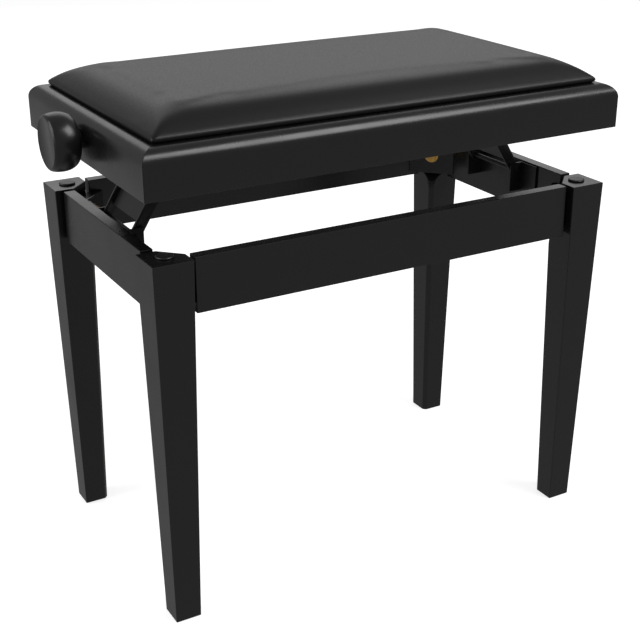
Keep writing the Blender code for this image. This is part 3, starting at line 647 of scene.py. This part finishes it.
LEVER_HALF_WIDTH = 6.5 * MM
LEVER_EYE = 11 * MM
LEVER_BORE = 8 * MM
LINK_HALF_WIDTH = 6 * MM
PIN_BORE = 3.3 * MM
BAR_SHEET = 2.5 * MM
SUNK = 0.6 * MM          # how deep a rivet head or boss reaches into its bar
RIVET_HEAD = rounded([(0.0, 1.5 * MM), (3.2 * MM, 1.3 * MM), (4.5 * MM, 0.5 * MM), (4.5 * MM, -SUNK),
                      (0.0, -SUNK)], 0.5 * MM)
BOSS_RADIUS = 5 * MM
BOSS_EDGE = 0.4 * MM
for end in ENDS:
    foot = pivots[f"lever_{end}_swing"]
    seat_pin = pivots[f"link_{end}_swing"]
    low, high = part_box(f"spindle_nut_{end}")
    eye = (low + high) / 2
    waist = (foot + eye) / 2
    for side, way in SIDES.items():
        low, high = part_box(f"lever_bar_{side}_{end}")
        inner = low.y if way > 0 else high.y
        outer = inner + way * BAR_SHEET
        bm = bmesh.new()
        holes = [(0.0, PIN_BORE), ((eye - foot).length, LEVER_BORE)]
        flat_bar(bm, foot, eye, LEVER_HALF_WIDTH, LEVER_EYE, holes, min(inner, outer), max(inner, outer))
        lathe(bm, RIVET_HEAD, (waist.x, outer, waist.z), (0, way, 0), 28)
        hand_over(bake(bm, f"lever_{side}_{end}"), "black_steel", f"lever_{end}", f"lever_bar_{side}_{end}")
        low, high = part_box(f"link_bar_{side}_{end}")
        inner, boss_end = (low.y, high.y) if way > 0 else (high.y, low.y)
        outer = inner + way * BAR_SHEET
        bm = bmesh.new()
        flat_bar(bm, seat_pin, waist, LINK_HALF_WIDTH, LINK_HALF_WIDTH * 1.001, [(0.0, PIN_BORE)],
                 min(inner, outer), max(inner, outer))
        boss = abs(boss_end - outer)
        boss_profile = [(0.0, boss), (BOSS_RADIUS - BOSS_EDGE, boss), (BOSS_RADIUS, boss - BOSS_EDGE),
                        (BOSS_RADIUS, -SUNK), (0.0, -SUNK)]
        lathe(bm, boss_profile, (waist.x, outer, waist.z), (0, way, 0), 28)
        hand_over(bake(bm, f"link_{side}_{end}"), "black_steel", f"link_{end}", f"link_bar_{side}_{end}")
print("levers of", round((eye - foot).length / MM, 1), "mm")

# %% [markdown]
# ## Threaded spindle
# The spindle has a left-hand thread on one half and a right-hand thread on the other, so that it
# winds both nuts apart at once. One pitch of the thread's profile is spun round the axis many times
# while it moves along it; turning it the other way round gives the other hand. Plain journals run
# in the bearings and close the thread's ends.

# %% Threaded spindle
PITCH = 4 * MM
TURNS = 44
TURN_STEPS = 14
THREAD_DEPTH = 1.1 * MM
JOURNAL_EDGE = 0.6 * MM
spindle_low, spindle_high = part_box("spindle")
spindle_y = (spindle_low.y + spindle_high.y) / 2
spindle_z = (spindle_low.z + spindle_high.z) / 2
crest = (spindle_high.z - spindle_low.z) / 2
core = crest - THREAD_DEPTH
TOOTH = ((0.0, core), (0.9 * MM, core), (1.5 * MM, crest), (3.1 * MM, crest), (3.7 * MM, core), (PITCH, core))
bm = bmesh.new()
middle_x = (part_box("spindle_nut_left")[0].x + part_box("spindle_nut_right")[1].x) / 2
thread_start = 52 * MM
for way in ENDS.values():
    start = middle_x + (thread_start if way > 0 else -thread_start - TURNS * PITCH)
    points = [bm.verts.new((start + along, spindle_y, spindle_z + radius)) for along, radius in TOOTH]
    edges = [bm.edges.new(pair) for pair in zip(points, points[1:])]
    bmesh.ops.spin(bm, geom=points + edges, cent=(0.0, spindle_y, spindle_z), axis=(1, 0, 0),
                   angle=way * math.tau * TURNS, dvec=(PITCH / TURN_STEPS, 0.0, 0.0),
                   steps=TURN_STEPS * TURNS)
bmesh.ops.remove_doubles(bm, verts=bm.verts, dist=0.02 * MM)
bmesh.ops.holes_fill(bm, edges=[edge for edge in bm.edges if edge.is_boundary])
thread_end = thread_start + TURNS * PITCH
journals = ((spindle_low.x, middle_x - thread_end + PITCH),
            (middle_x - thread_start - PITCH, middle_x + thread_start + PITCH),
            (middle_x + thread_end - PITCH, spindle_high.x))
for near, far in journals:
    run = far - near
    lathe(bm, rounded([(0.0, 0.0), (crest, 0.0), (crest, run), (0.0, run)], JOURNAL_EDGE, 2),
          (near, spindle_y, spindle_z), (1, 0, 0), 40)
spindle = bake(bm, "threaded_spindle")
hand_over(spindle, "bright_steel", "screw", "spindle")
print("the thread has", 2 * TURNS, "turns and", len(spindle.data.polygons), "faces")

# %% [markdown]
# ## Leg nuts
# Each leg hangs on a bolt through its corner block, with a washer and a chamfered hexagon nut that
# a spanner reaches from below. The nut is a six-sided prism, bevelled round both ends.

# %% Leg nuts and washers
WASHER = 1.2 * MM
WASHER_RADIUS = 9 * MM
WASHER_EDGE = 0.3 * MM
NUT_RADIUS = 7.5 * MM
NUT_THICKNESS = 6.5 * MM         # with its washer
NUT_CHAMFER = 0.6 * MM
for side, y_way in SIDES.items():
    for end, x_way in ENDS.items():
        node = f"leg_nut_{side}_{end}"
        low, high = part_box(node)
        inward = Vector((-x_way, -y_way, 0.0)).normalized()
        block_face = (low + high) / 2 - inward * NUT_THICKNESS / 2
        turn = Vector((0, 0, 1)).rotation_difference(inward).to_matrix().to_4x4()
        bm = bmesh.new()
        nut_height = NUT_THICKNESS - WASHER
        bmesh.ops.create_cone(bm, cap_ends=True, segments=6, radius1=NUT_RADIUS, radius2=NUT_RADIUS,
                              depth=nut_height)
        rims = [edge for edge in bm.edges if abs(edge.verts[0].co.z - edge.verts[1].co.z) < MM]
        bmesh.ops.bevel(bm, geom=rims, affect="EDGES", offset=NUT_CHAMFER, segments=2, profile=0.5,
                        material=-1)
        place = Matrix.Translation(block_face + inward * (WASHER + nut_height / 2)) @ turn
        bmesh.ops.transform(bm, matrix=place, verts=bm.verts)
        washer_profile = rounded([(0.0, 0.0), (WASHER_RADIUS, 0.0), (WASHER_RADIUS, WASHER), (0.0, WASHER)],
                                 WASHER_EDGE, 2)
        lathe(bm, washer_profile, block_face, inward, 36)
        hand_over(bake(bm, f"hexagon_nut_{side}_{end}"), "yellow_zinc", "base", node)
